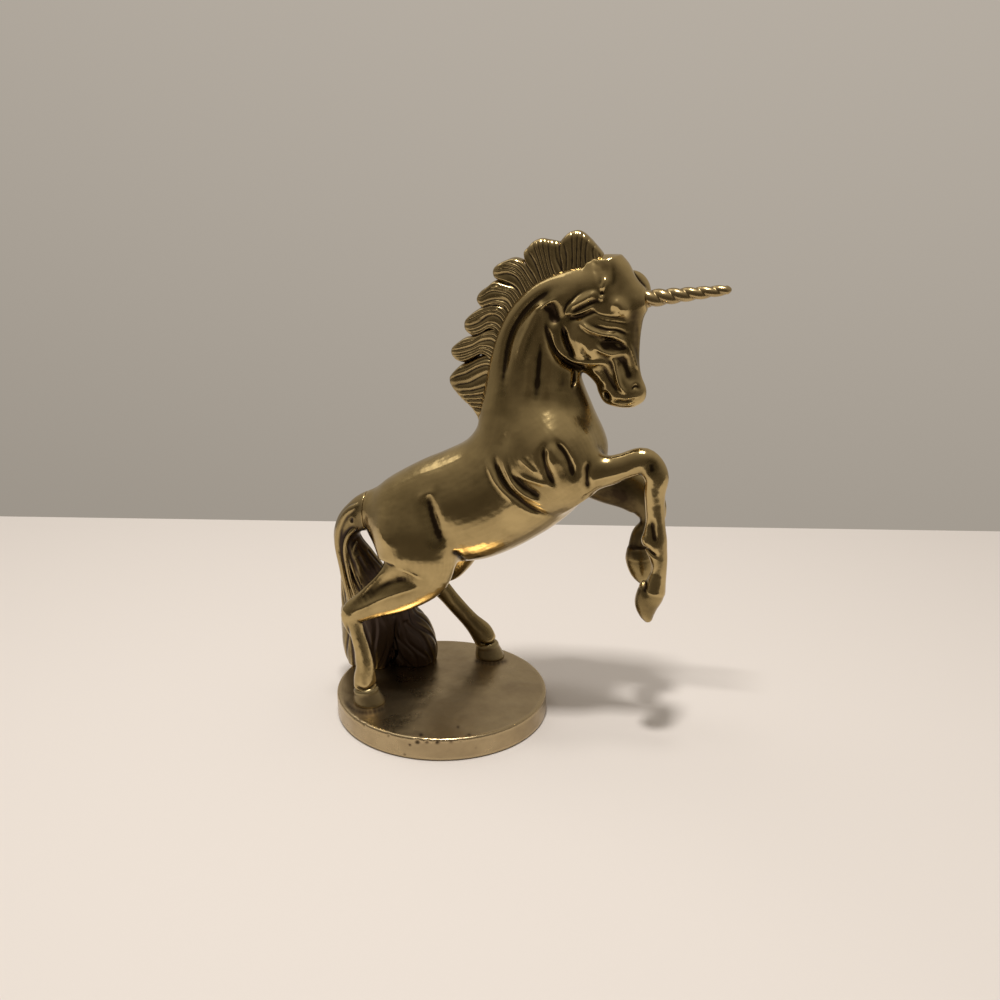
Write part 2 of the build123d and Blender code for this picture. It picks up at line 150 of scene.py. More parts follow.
# Stage, in metres, with each lamp's place, size and power
floor_corners = ((-1.9, -0.075), (1.8, 0.607), (1.8, 0.14), (-1.9, -0.7))
floor_colour = (0.7, 0.66, 0.63, 1.0)
floor_roughness = 0.9
lamps = (
    ("ceiling_lamp", (0.03, -0.23, 1.15), 0.1, 8.8),
    ("second_lamp", (0.02, 0.01, 1.2), 0.12, 1.6),
    ("fill_lamp", (-0.55, 0.25, 1.0), 0.6, 1.4),
)
lamp_aim = Vector((0.03, 0.0, 0.1))
lamp_colour = (1.0, 0.96, 0.91)

# World: its colours near the camera and at the wall, and how they mix
world_near = (0.11, 0.092, 0.071, 1.0)
world_far = (0.465, 0.418, 0.36, 1.0)
world_height_share = 0.55
world_level_share = 0.45
world_distance_share = 0.5

# Finishes: colours where worn (also at painted highlights), aged, and in hollows (also at painted shade),
# and roughness where bright and dull
finishes = {
    "body_brass": ((0.5, 0.38, 0.18), (0.27, 0.2, 0.088), (0.04, 0.026, 0.014), 0.15, 0.4),
    "hair_brass": ((0.42, 0.32, 0.155), (0.2, 0.15, 0.07), (0.06, 0.043, 0.034), 0.2, 0.4),
    "horn_brass": ((0.45, 0.34, 0.17), (0.25, 0.185, 0.09), (0.05, 0.034, 0.02), 0.22, 0.45),
    "hoof_brass": ((0.34, 0.27, 0.14), (0.2, 0.15, 0.08), (0.05, 0.034, 0.02), 0.34, 0.55),
    "plinth_brass": ((0.46, 0.36, 0.21), (0.3, 0.225, 0.13), (0.07, 0.05, 0.03), 0.26, 0.5),
}
aged_share = 0.45  # how tarnished aged brass is
cloud_values = {"Scale": 48.0, "Detail": 5.0, "Roughness": 0.6}
cloud_range = {"From Min": 0.35, "From Max": 0.75, "To Max": 0.42}
file_waves = ({"Scale": 95.0, "Detail": 2.0}, {"Strength": 0.35, "Distance": 0.0012})
sand_grain = ({"Scale": 850.0, "Detail": 3.0}, {"Strength": 0.1, "Distance": 0.0002})

# Hoof: down from the coronet, and its size there as a share of the sole's
hoof_profile_shares = [
    (-0.02, 0.66), (0.1, 0.78), (0.22, 0.8), (0.3, 0.79), (0.8, 0.97), (0.95, 1.0), (1.0, 0.98),
]

# Pits in the plinth's edge: the turn in degrees, the height and the size
plinth_pits = [
    (-104, 11.2, 0.9), (-88, 10.6, 1.1), (-83, 10.9, 0.8), (-92, 8.2, 0.6), (-78, 10.8, 0.7),
    (-120, 11.6, 0.8), (-66, 11.0, 0.5), (-95, 2.0, 0.6), (-58, 6.0, 0.4), (-128, 11.9, 0.6),
    (40, 9.5, 0.7), (95, 10.8, 0.8), (150, 11.3, 0.7), (-150, 10.9, 0.6), (10, 4.0, 0.5),
]

# Horn: its root, its rise, the waist and ridges of its twist, and its rounded tip
horn_root_share = (0.396, 0.8703)
horn_rise = 0.147
horn_waist_share = 0.8
horn_ridge_share = 0.24
horn_ridge_power = 0.8
horn_tip_taper = 22
horn_tip_share = 0.05

# Plinth's pits: their slant, depth and fade
pit_slant = (0.3, 0.1, 0.1)
pit_depth_share = 0.9
pit_fade_share = 0.001

# Forms, in shares of the horse's height. Trunk and head: top, bottom and half width
trunk_shares = [
    (-0.165, 0.427, -0.166, 0.358, 0.03), (-0.146, 0.445, -0.125, 0.312, 0.066),
    (-0.117, 0.474, -0.058, 0.285, 0.088), (-0.046, 0.517, 0.038, 0.303, 0.094),
    (0.012, 0.545, 0.113, 0.32, 0.102), (0.056, 0.57, 0.196, 0.365, 0.1),
    (0.08, 0.6, 0.275, 0.427, 0.098), (0.086, 0.629, 0.333, 0.506, 0.092),
    (0.09, 0.66, 0.35, 0.577, 0.08), (0.099, 0.696, 0.32, 0.65, 0.066),
    (0.108, 0.738, 0.296, 0.705, 0.056), (0.123, 0.787, 0.286, 0.742, 0.051),
    (0.15, 0.846, 0.273, 0.778, 0.047), (0.19, 0.89, 0.275, 0.815, 0.045),
    (0.245, 0.921, 0.292, 0.845, 0.042), (0.305, 0.938, 0.333, 0.873, 0.036),
]
head_shares = [
    (0.362, 0.953, 0.312, 0.942, 0.026), (0.383, 0.922, 0.291, 0.897, 0.038),
    (0.407, 0.888, 0.258, 0.842, 0.043), (0.409, 0.845, 0.234, 0.796, 0.043),
    (0.405, 0.8, 0.238, 0.757, 0.04), (0.405, 0.755, 0.283, 0.737, 0.031),
    (0.41, 0.725, 0.318, 0.708, 0.026), (0.421, 0.697, 0.327, 0.687, 0.026),
    (0.418, 0.675, 0.339, 0.668, 0.022), (0.4, 0.661, 0.36, 0.66, 0.012),
]

# Limbs: centre forward, up and left, then depth and width
right_hind_shares = [
    (-0.055, 0.43, -0.045, 0.09, 0.05), (-0.046, 0.385, -0.06, 0.16, 0.088),
    (-0.035, 0.34, -0.072, 0.171, 0.088), (-0.038, 0.3, -0.077, 0.15, 0.075),
    (-0.077, 0.256, -0.087, 0.106, 0.056), (-0.129, 0.225, -0.1, 0.07, 0.042),
    (-0.169, 0.2, -0.11, 0.052, 0.037), (-0.163, 0.165, -0.115, 0.037, 0.03),
    (-0.15, 0.125, -0.12, 0.036, 0.029), (-0.142, 0.087, -0.123, 0.04, 0.033),
    (-0.142, 0.058, -0.125, 0.05, 0.04), (-0.143, 0.0354, -0.125, 0.05, 0.044),
]
left_hind_shares = [
    (-0.05, 0.43, 0.045, 0.09, 0.05), (-0.035, 0.385, 0.06, 0.158, 0.088),
    (-0.017, 0.34, 0.072, 0.168, 0.088), (-0.008, 0.298, 0.079, 0.145, 0.073),
    (-0.02, 0.252, 0.09, 0.102, 0.056), (-0.044, 0.218, 0.104, 0.07, 0.044),
    (-0.052, 0.188, 0.118, 0.054, 0.038), (-0.03, 0.156, 0.126, 0.043, 0.033),
    (-0.002, 0.121, 0.13, 0.041, 0.032), (0.027, 0.088, 0.133, 0.042, 0.034),
    (0.052, 0.06, 0.135, 0.054, 0.042), (0.065, 0.034, 0.135, 0.052, 0.045),
]
right_fore_shares = [
    (0.25, 0.535, -0.058, 0.105, 0.058), (0.3, 0.536, -0.058, 0.082, 0.056),
    (0.358, 0.545, -0.058, 0.062, 0.048), (0.388, 0.556, -0.058, 0.053, 0.043),
    (0.428, 0.569, -0.058, 0.054, 0.043), (0.452, 0.542, -0.058, 0.05, 0.04),
    (0.452, 0.5, -0.058, 0.041, 0.034), (0.456, 0.448, -0.058, 0.038, 0.03),
    (0.457, 0.405, -0.058, 0.049, 0.035), (0.466, 0.368, -0.058, 0.036, 0.031),
    (0.466, 0.33, -0.058, 0.036, 0.033), (0.457, 0.3, -0.058, 0.05, 0.041),
]
left_fore_shares = [
    (0.265, 0.516, 0.06, 0.084, 0.05), (0.303, 0.497, 0.06, 0.096, 0.056),
    (0.345, 0.482, 0.058, 0.096, 0.052), (0.39, 0.467, 0.058, 0.088, 0.046),
    (0.426, 0.446, 0.057, 0.08, 0.043), (0.44, 0.418, 0.054, 0.062, 0.038),
    (0.437, 0.394, 0.049, 0.044, 0.033), (0.424, 0.374, 0.045, 0.046, 0.036),
    (0.416, 0.347, 0.042, 0.041, 0.033), (0.418, 0.325, 0.04, 0.046, 0.038),
]
right_fore_hoof_shares = [
    (0.462, 0.33, -0.058, 0.03, 0.028), (0.456, 0.296, -0.058, 0.054, 0.046),
    (0.448, 0.268, -0.058, 0.051, 0.046), (0.449, 0.245, -0.058, 0.034, 0.036),
    (0.454, 0.228, -0.058, 0.014, 0.02),
]
left_fore_hoof_shares = [
    (0.416, 0.344, 0.041, 0.042, 0.036), (0.418, 0.324, 0.04, 0.054, 0.044),
    (0.425, 0.298, 0.039, 0.05, 0.043), (0.432, 0.278, 0.038, 0.034, 0.032),
    (0.435, 0.265, 0.038, 0.014, 0.016),
]
shoulder_shares = [
    (0.18, 0.65, 0.035, 0.06, 0.04), (0.205, 0.61, 0.05, 0.14, 0.085),
    (0.24, 0.56, 0.058, 0.185, 0.1), (0.275, 0.515, 0.06, 0.15, 0.085),
    (0.3, 0.48, 0.05, 0.08, 0.05),
]
ear_shares = [
    (0.335, 0.88, 0.032, 0.016, 0.018), (0.317, 0.879, 0.037, 0.029, 0.019),
    (0.297, 0.868, 0.041, 0.031, 0.016), (0.277, 0.855, 0.043, 0.02, 0.011),
    (0.262, 0.844, 0.043, 0.006, 0.005),
]
forelock_shares = [
    (0.3, 0.93, 0.0, 0.03, 0.034), (0.33, 0.933, 0.0, 0.04, 0.046),
    (0.356, 0.926, 0.0, 0.044, 0.052), (0.368, 0.905, 0.0, 0.038, 0.05),
    (0.378, 0.88, 0.0, 0.034, 0.04),
]
far_lock_shares = [
    (0.36, 0.905, 0.02, 0.03, 0.026), (0.385, 0.905, 0.026, 0.034, 0.028),
    (0.402, 0.892, 0.024, 0.03, 0.026), (0.41, 0.875, 0.018, 0.018, 0.018),
]
horn_boss_shares = [
    (0.38, 0.866, 0.0, 0.06, 0.06), (0.398, 0.869, 0.0, 0.046, 0.046),
    (0.41, 0.871, 0.0, 0.036, 0.036),
]
dock_shares = [
    (-0.13, 0.4, 0.0, 0.104, 0.092), (-0.16, 0.397, 0.0, 0.086, 0.072),
    (-0.182, 0.388, 0.0, 0.07, 0.062), (-0.199, 0.37, 0.001, 0.056, 0.056),
    (-0.208, 0.348, 0.002, 0.036, 0.04),
]

# For the trunk, strands and meshes
belly_share = 0.1  # how much fuller the trunk is below
strand_aside = (0.05, 1.0, 0.02)  # no strand runs this way
least_length = 1e-9  # too short to divide by
croup_rows = 4  # rows of the trunk that the tail shares
dock_rows = 4  # rows of the tail that the body shares
body_nodes = [
    "right_body_shell", "left_body_shell", "right_hind_leg", "left_hind_leg",
    "right_foreleg", "left_foreleg",
]

# Paths in the photograph's pixels run across and down by turns. Eye: its corners and middle, and its lids
eye_corners = (606, 344, 615, 345.5, 623, 350)
lid_strokes = [
    ((600, 342, 607, 339, 615, 339, 621, 342, 627, 350), -3, 0.9, -0.7),
    ((595, 345, 602, 351, 611, 354.5, 620, 355), -3, 1.3, -1.5),
]
eye_shares = (0.15, 0.8, 1.0, 0.8, 0.15)

# Raised band along the crest
crest_band = (
    600, 276, 572, 281, 548, 288, 530, 301, 517, 316, 507, 335, 502, 355, 498, 378, 496, 402, 498, 425,
)

# Strokes on the flanks: the path, how far left it lies, its half width, how far it presses in (out
# where negative), and the flank where only one has it
head_strokes = [
    ((545, 312, 547, 330, 553, 348, 566, 364, 582, 371, 597, 372), -3, 1.7, 2.2),
    ((551, 335, 559, 352, 571, 362, 586, 364, 602, 364, 612, 369), -3, 1.1, -0.9),
    ((562, 324, 566, 343, 574, 360), -3, 1.3, 1.7),
    ((580, 334, 587, 345, 592, 352), -3, 4.6, -1.1),
    ((582, 344, 585, 355, 592, 361), -3, 1.0, 0.7),
    ((576, 318, 589, 328, 604, 334, 616, 336, 626, 344), -3, 1.3, -1.8),
    ((592, 324, 606, 329, 618, 331, 630, 338), -3, 0.9, 0.6),
    ((588, 309, 602, 315, 618, 318, 630, 320), -3, 0.6, 0.6),
    ((592, 315, 604, 320, 618, 323, 629, 326), -3, 0.6, 0.5),
    ((614, 302, 620, 306, 624, 313), -3, 2.9, -2.2),
    ((600, 342, 612, 344, 626, 350), -3, 2.1, 2.0),
    ((606, 356, 614, 362, 616, 374, 620, 388, 628, 398), -3, 1.2, -1.7),
    ((620, 354, 625, 368, 631, 384), -1, 2.3, 2.1),
    ((628, 340, 632, 352, 636, 366, 640, 378), -1, 0.9, -1.0),
    ((600, 364, 606, 375, 612, 387, 618, 398), -3, 1.5, 0.8),
    ((637, 318, 638, 336, 638, 354, 640, 370), 2, 1.0, 0.5),
    ((590, 369, 598, 378, 605, 388), -2, 1.0, -0.5),
    ((605, 394, 606, 397, 607, 400), -1, 1.0, 2.6),
    ((610, 402, 618, 402, 627, 402, 636, 399), -1, 0.6, 0.8),
    ((618, 397, 628, 399, 640, 396), 0, 1.1, -0.5),
    ((631, 391, 635, 387, 639, 391), 0, 0.8, 1.0),
    ((545, 303, 550, 312, 556, 323), -4, 3.4, 2.2),
    ((570, 313, 584, 306, 598, 299), -5, 1.1, 1.0),
    ((565, 309, 582, 300, 600, 290), -5, 1.1, -0.7),
    ((567, 317, 583, 312, 597, 304), -5, 0.7, -0.7),
    ((568, 321, 586, 316, 600, 309), -5, 1.1, 0.8),
    ((606, 278, 604, 284, 601, 289), -3, 1.3, -1.3),
    ((602, 292, 602, 294), -3, 0.8, 0.9),
    ((601, 297, 602, 299), -3, 0.9, -0.9),
    ((612, 262, 614, 276, 613, 290), -1, 1.8, 0.6),
    ((590, 262, 600, 265, 606, 274), -1, 1.6, 0.5),
]
neck_strokes = [
    ((566, 286, 546, 294, 527, 309, 513, 328, 506, 348, 503, 370, 500, 398), -6, 2.1, 2.1),
    ((553, 301, 538, 310, 529, 326, 521, 345, 515, 366), -6, 2.0, -1.3),
    ((553, 305, 553, 313, 552, 322), -5, 3.2, 1.4),
    ((541, 330, 538, 366, 536, 404), -8, 2.0, 1.0),
    ((530, 350, 528, 378, 526, 404), -8, 2.2, -0.6),
    ((552, 345, 549, 374, 547, 404), -7, 2.2, -0.6),
    ((568, 345, 562, 374, 560, 400), -6, 3.0, 0.9),
    ((531, 312, 544, 305, 558, 298), -5, 0.7, -0.8),
    ((574, 368, 574, 378, 573, 388), 0, 0.7, 1.8, -1),
]
shoulder_strokes = [
    ((549, 446, 552, 458), -17, 10.5, -3.6),
    ((550, 438, 545, 448, 546, 460, 550, 473, 557, 487), -18, 2.1, 2.2),
    ((550, 438, 558, 444, 566, 455, 571, 468, 574, 481), -18, 1.9, 2.2),
    ((552, 446, 558, 462, 565, 478), -18, 3.4, 0.8),
    ((483, 457, 495, 480, 516, 501), -16, 1.5, -1.0),
    ((493, 452, 496, 470, 507, 488, 520, 500, 536, 513, 553, 522), -17, 1.6, 1.5),
    ((500, 456, 508, 475, 520, 491, 536, 501, 546, 507), -18, 1.1, -0.9),
    ((509, 473, 523, 485, 544, 498), -18, 2.0, 1.2),
    ((519, 458, 529, 465, 539, 473), -18, 1.1, -0.8),
    ((516, 474, 535, 480, 553, 485), -18, 1.2, -0.7),
    ((505, 436, 498, 450), -16, 4.0, 0.8),
    ((588, 458, 587, 474, 588, 492), -14, 1.7, 1.2),
]
haunch_strokes = [
    ((409, 507, 419, 501, 429, 498), -24, 2.2, -0.8),
    ((421, 502, 425, 517, 431, 534, 438, 551), -25, 3.3, 1.9),
    ((376, 512, 378, 533, 386, 553), -22, 4.6, -1.5),
    ((452, 552, 455, 562, 457, 572), -18, 1.6, 1.6, -1),
    ((418, 586, 398, 584, 377, 593, 354, 609), -25, 3.4, 2.0, -1),
    ((384, 570, 366, 588, 347, 608), -24, 1.3, -1.0, -1),
    ((386, 571, 404, 577, 421, 586), -27, 1.0, -0.5, -1),
    ((346, 616, 372, 604, 398, 596, 422, 590), -25, 1.3, -0.6, -1),
    ((344, 622, 348, 640, 354, 662), -27, 1.0, 0.9, -1),
    ((364, 672, 365, 686), -28, 1.6, 0.3, -1),
    ((353, 686, 365, 691, 375, 687), -30, 0.7, 0.9, -1),
    ((477, 643, 488, 647, 499, 642), 31, 0.7, 0.9, 1),
]
foreleg_strokes = [
    ((651, 520, 653, 532, 655, 545), -12, 1.6, 1.2, -1),
    ((643, 548, 650, 553, 657, 557), -12, 1.0, 1.6, -1),
    ((652, 564, 646, 580, 645, 596), -13, 1.3, 1.6, -1),
    ((640, 540, 645, 546), -12, 2.0, -0.7, -1),
    ((590, 480, 615, 474, 636, 470), -12, 1.2, -0.3, -1),
    ((650, 464, 653, 472), -12, 2.9, 1.1, -1),
]
dock_strokes = [
    ((353, 515, 353, 522), 0, 1.7, -0.5, -1),
    ((353, 517, 353, 521), 0, 0.8, 0.9, -1),
]

# Strokes on the body, and how far from the middle plane they keep
body_strokes = (
    (head_strokes, 1.0), (neck_strokes, 2.5), (shoulder_strokes, 6.0), (haunch_strokes, 8.0),
    (foreleg_strokes, 2.0),
)

# Legs, and the small forms that come after the head, with their fillets
leg_forms = (
    (right_hind_shares, 6.0), (left_hind_shares, 6.0), (right_fore_shares, 5.0), (left_fore_shares, 5.0),
)
small_forms = (
    (forelock_shares, 3.0), (far_lock_shares, 1.0), (horn_boss_shares, 5.0),
    (right_fore_hoof_shares, 2.2), (left_fore_hoof_shares, 2.0),
)

# Mane: each tuft's line along the crest, its upper and lower edges without their ends, its outer edge,
# and its number of strands
tufts = [
    ((606, 268, 590, 271, 576, 275, 563, 279), (605, 260),
     (561, 264, 559, 252), (604, 253, 592, 239, 584, 232, 578, 230, 570, 232, 564, 237, 560, 242), 8),
    ((567, 278, 555, 281, 546, 284, 539, 289), (564, 264, 562, 252),
     (533, 277, 528, 266), (560, 241, 549, 239, 542, 238, 534, 241, 528, 247, 524, 252, 526, 257), 8),
    ((544, 286, 536, 290, 529, 296, 523, 303), (535, 272, 527, 261, 516, 257, 506, 260),
     (517, 291, 509, 285, 501, 281), (498, 264, 494, 268, 493, 273, 495, 278), 6),
    ((528, 298, 521, 304, 516, 311, 511, 320), (519, 286, 507, 282, 496, 280, 488, 286),
     (506, 309, 498, 305, 490, 307, 484, 308), (482, 290, 478, 295, 477, 300, 480, 304), 6),
    ((514, 315, 510, 322, 506, 331, 503, 341), (507, 305, 496, 303, 484, 306, 475, 311),
     (497, 331, 490, 329, 483, 334, 476, 336), (469, 316, 465, 321, 465, 328, 469, 333), 6),
    ((506, 335, 503, 344, 500, 355, 498, 367), (498, 327, 488, 329, 478, 334, 466, 337),
     (491, 358, 483, 354, 475, 358, 466, 362), (457, 343, 452, 348, 452, 354, 457, 360), 7),
    ((500, 360, 498, 378, 495, 398, 492, 424), (492, 353, 482, 355, 472, 360, 462, 364),
     (487, 424, 483, 423),
     (455, 370, 450, 377, 451, 384, 455, 390, 463, 399, 471, 406, 477, 414, 479, 421), 10),
]

# A tuft's rim in strands, its tip, how it thins, and how its strands wander, ripple and fade
rim_strands = 1.1
rim_power = 0.8
tip_share = 0.16
tip_edge_share = 0.25
thinning_share = 0.35
wander_share = 0.3
wander_turns = 1.7
ripple_share = 0.22
ripple_waves = (5, 6)
strand_power = 0.7
strand_even_share = 0.55
strand_onset = 1.1

# Tail: its outer and inner edge, how far left it lies and its width
tail_edges = [
    ((358, 504), (368, 528), 6, 12),
    ((342, 511), (361, 529), 6, 13),
    ((335, 528), (359, 534), 6.5, 14),
    ((335, 544), (364, 544), 7, 15),
    ((338, 560), (376, 560), 8, 17),
    ((341, 577), (388, 577), 11, 20),
    ((342, 598), (398, 597), 14.5, 22),
    ((343, 620), (402, 615), 16.5, 24),
    ((344, 642), (398, 640), 18, 25),
    ((350, 660), (394, 662), 18.5, 23),
    ((362, 678), (386, 680), 18.5, 18),
]
lobe_edges = [
    ((368, 588), (400, 594), 16, 18),
    ((380, 602), (412, 608), 20.5, 22),
    ((384, 616), (420, 618), 23, 23),
    ((385, 630), (432, 631), 25, 24),
    ((385, 648), (437, 648), 25.5, 24),
    ((388, 662), (432, 663), 25.5, 21),
    ((394, 675), (414, 675), 25.5, 15),
]
tail_ribbons = [
    ((360, 504, 347, 513, 339.5, 528, 338, 545, 341, 562, 345, 580, 350, 600), 0.5, 1.9),
    ((356, 527, 348, 536, 345, 549, 347, 565, 351, 583, 357, 600), -0.5, 1.25),
    ((357, 541, 353, 553, 356, 569, 362, 585), 1.0, 0.8),
]
ribbon_swell_shares = (1.15, 0.45, 0.1)
ribbon_onset = 8

# Grooves of the tail and its lobe: how many, their radius, how they sway and where they begin
tail_grooves = (26, 0.95, 0.36, 0.24)
lobe_grooves = (18, 1.1, 0.42, 0.0)
groove_seat_share = 1.02  # how far out they lie
groove_stagger_share = 0.12
slow_waves = 7.5
slow_phase = 1.4
quick_sway = 0.13
quick_waves = 15
quick_phase = 2.1
sway_onset = 1.6
groove_least_share = 0.7
groove_more_share = 0.5
groove_variety = 2.4
groove_past_share = 1.15
groove_onset = 8
groove_end_share = 0.25

# Where the brass is darkened by spots, patina and painted shade, or lightened by painted highlights where
# the amount is negative: the path, how far left it lies, how far it spreads and how much
body_patina_and_painted_light = [
    ((606, 347, 614, 348, 622, 347), -4, 2.2, 0.8),
    ((549, 305, 554, 318, 558, 330), -4, 5.0, 0.45),
    ((546, 294, 524, 311, 511, 333, 505, 360, 502, 392), -6, 2.4, 0.4),
    ((497, 403, 504, 411, 512, 417), -8, 4.6, 0.35),
    ((538, 360, 537, 404), -8, 2.2, 0.3),
    ((572, 350, 568, 375, 564, 402), -4, 5.0, 0.4),
    # Painted highlight on the shoulder
    ((543, 408, 546, 420, 549, 430), -17, 8.0, -0.9),
    ((577, 385, 583, 405, 586, 425), -6, 3.2, 0.55),
    # Painted highlights on the crest band, the neck's muscle band, the brow and the cheek
    ((600, 272, 560, 280, 530, 294, 508, 316, 498, 345, 493, 375, 489, 402), -2, 3.2, -0.35),
    ((553, 299, 537, 310, 527, 328, 519, 350), -6, 2.0, -0.35),
    ((616, 303, 623, 311), -4, 3.0, -0.8),
    ((576, 335, 584, 352, 596, 358), -4, 4.0, -0.25),
    ((600, 385, 612, 398, 628, 392), -3, 7.0, 0.2),
    # Painted shade down the front of the face
    ((634, 313, 636, 336, 639, 362), 0, 4.5, 0.75),
    ((562, 450, 562, 475), -18, 5.0, 0.4),
    ((526, 485, 538, 493), -18, 4.0, 0.3),
    # Painted dark reflection in the knee's dimple
    ((652, 464, 653, 471), -12, 3.0, 0.7),
    ((654, 524, 656, 540), -12, 2.2, 0.35),
    ((646, 570, 643, 588), -13, 2.8, 0.45),
    ((638, 596, 645, 606, 650, 616), -14, 5.6, 0.6),
    ((366, 666, 366, 671), -28, 1.6, 0.3),
    ((385, 590, 405, 586), -25, 6.0, 0.25),
    # Painted shade on the far foreleg, its hoof and the far hind leg
    ((600, 498, 630, 500, 642, 530), 12, 13.0, 0.8),
    ((632, 555, 640, 575), 12, 8.0, 0.45),
    ((445, 600, 475, 632), 36, 13.0, 0.65),
    ((571, 312, 584, 306, 597, 300), -5, 1.5, 0.6),
    ((421, 508, 427, 528, 434, 546), -22, 3.0, 0.35),
    ((426, 504, 433, 521, 440, 541), -22, 2.0, 0.35),
    ((348, 640, 360, 690), -28, 7.0, 0.15),
]
tail_darkening = [
    # Darker patches on the tail, the brush darkened nearly to the darkest colour
    ((376, 625, 390, 650, 396, 672), 4, 17.0, 1.0),
    ((400, 610, 420, 640, 424, 668), 15, 17.0, 1.0),
    ((362, 542, 372, 564, 382, 590), 2, 9.0, 1.0),
    ((352, 518, 353, 521), -8, 1.6, 0.6),
]
plinth_spots_and_hoof_shadows = [
    ((421, 735), -48.3, 1.1, 0.9),
    ((438, 741), -50.8, 1.2, 0.9),
    ((451, 741), -48.9, 1.0, 0.9),
    ((469, 735), -43.1, 1.0, 0.8),
    ((458, 727), -37.2, 0.8, 0.8),
    ((360, 720), -42.1, 1.0, 0.9),
    # Painted shadows on the plinth where the hind hooves stand
    ((347, 703, 354, 710, 366, 713, 382, 709), -32.0, 1.7, 0.8),
    ((477, 661, 490, 664, 505, 661), 30.0, 1.5, 0.7),
]


# Curves and tubes

def place(x, z, y=0.0):
    """A place on the horse in shares of its height: forward, up from the plinth and left."""
    return np.array((0.0, middle, plinth_top)) + horse_height * np.array((x, y, z))


def smoothed(rows, steps):
    """Rows on a smooth curve through the given rows."""
    rows = np.array(rows, dtype=float)
    padded = np.vstack([rows[:1], rows, rows[-1:]])
    share = (np.arange(steps) / steps)[:, None]
    pieces = []
    for index in range(len(rows) - 1):
        before, start, end, after = padded[index:index + 4]
        straight = (end - before) * share
        bend = (2 * before - 5 * start + 4 * end - after) * share ** 2
        pieces.append(start + (straight + bend + (3 * start - before - 3 * end + after) * share ** 3) / 2)
    return np.vstack(pieces + [rows[-1:]])


def run_of(path):
    """The share of a path's length at each of its points."""
    steps = np.linalg.norm(np.diff(path, axis=0), axis=1)
    return np.concatenate([[0.0], np.cumsum(steps)]) / steps.sum()


def along(line, shares):
    """Places on a line of points at shares of its length."""
    run = run_of(line)
    return np.stack([np.interp(shares, run, line[:, axis]) for axis in range(line.shape[1])], -1)


def eased(share):
    """A share that leaves 0 and reaches 1 gently."""
    return share * share * (3 - 2 * share)


def domed(share):
    """A share that rises from 0 to 1 like a quarter of a circle."""
    return np.sqrt(1 - (1 - share) ** 2)


def turns(count):
    """Angles evenly spaced round a circle."""
    return 2 * pi * np.arange(count) / count


def unit(vectors):
    """Vectors made one long."""
    return vectors / np.maximum(np.linalg.norm(vectors, axis=-1, keepdims=True), least_length)


def directions(points):
    """The direction of a path at each of its points."""
    return unit(np.vstack([points[1:], points[-1:]]) - np.vstack([points[:1], points[:-1]]))


def nearness(path, grid, width, fade_share):
    """How near places are to a path, from 0 to 1, faded towards its ends."""
    run = run_of(path)
    near = 0.0
    for index in range(len(path) - 1):
        way = path[index + 1] - path[index]
        offsets = [axis - start for axis, start in zip(grid, path[index])]
        share = np.clip(sum(offset * part for offset, part in zip(offsets, way)) / (way @ way), 0, 1)
        gap = sum((offset - share * part) ** 2 for offset, part in zip(offsets, way))
        at = run[index] + share * (run[index + 1] - run[index])
        edge = np.clip(np.minimum(at, 1 - at) / fade_share, 0, 1)
        near = np.maximum(near, eased(edge) * np.exp(-gap / width ** 2))
    return near


def tube_mesh(rings):
    """A closed tube over rings of points."""
    rings = np.array(rings)
    count, around = rings.shape[:2]
    points = np.vstack([rings.reshape(-1, 3), rings[0].mean(0), rings[-1].mean(0)])
    number = np.arange(count * around).reshape(count, around)
    after = np.roll(number, -1, axis=1)
    quads = np.stack([number[:-1], after[:-1], after[1:], number[1:]], -1).reshape(-1, 4)
    near = np.stack([np.full(around, count * around), after[0], number[0]], 1)
    far = np.stack([np.full(around, count * around + 1), number[-1], after[-1]], 1)
    return points, np.vstack([near, far]), quads


def sections(stations, steps, side=1):
    """A limb's centres, the directions of its depth and width, and half of both."""
    rows = smoothed(stations, steps)
    centres = np.array([place(x, z, y * side) for x, z, y in rows[:, :3]])
    way = directions(centres)
    fore = unit(np.cross(way, (0.0, -1.0, 0.0)))
    return centres, fore, np.cross(way, fore), horse_height * rows[:, 3] / 2, horse_height * rows[:, 4] / 2


def ringed(centres, fore, across, half_depth, half_width, count):
    """A tube of oval rings round a line of centres."""
    turn = turns(count)
    return tube_mesh(
        centres[:, None]
        + fore[:, None] * (half_depth[:, None] * np.cos(turn))[..., None]
        + across[:, None] * (half_width[:, None] * np.sin(turn))[..., None]
    )


def limb(stations, side=1):
    """A limb through stations of a centre (forward, up, left), a depth and a width."""
    return ringed(*sections(stations, limb_steps, side), limb_points)


def strand(path, radii, around=strand_points):
    """A round strand along a path in space."""
    way = directions(path)
    across = unit(np.cross(way, strand_aside))
    return ringed(path, across, np.cross(way, across), radii, radii, around)


def bundle(meshes):
    """Several closed meshes as one."""
    points, triangles, quads = [], [], []
    count = 0
    for mesh in meshes:
        points.append(mesh[0])
        triangles.append(mesh[1] + count)
        quads.append(mesh[2] + count)
        count += len(mesh[0])
    return np.vstack(points), np.vstack(triangles), np.vstack(quads)


def trunk(stations):
    """The trunk or the head, through stations of a top, a bottom and a half width."""
    rows = smoothed(stations, limb_steps)
    tops = np.array([place(x, z) for x, z in rows[:, 0:2]])
    lows = np.array([place(x, z) for x, z in rows[:, 2:4]])
    turn = turns(trunk_points)
    swell = np.sin(turn) * (1 - belly_share * np.cos(turn))
    rings = ((tops + lows) / 2)[:, None] + ((tops - lows) / 2)[:, None] * np.cos(turn)[None, :, None]
    rings[:, :, 1] += horse_height * rows[:, 4][:, None] * swell
    return tube_mesh(rings)


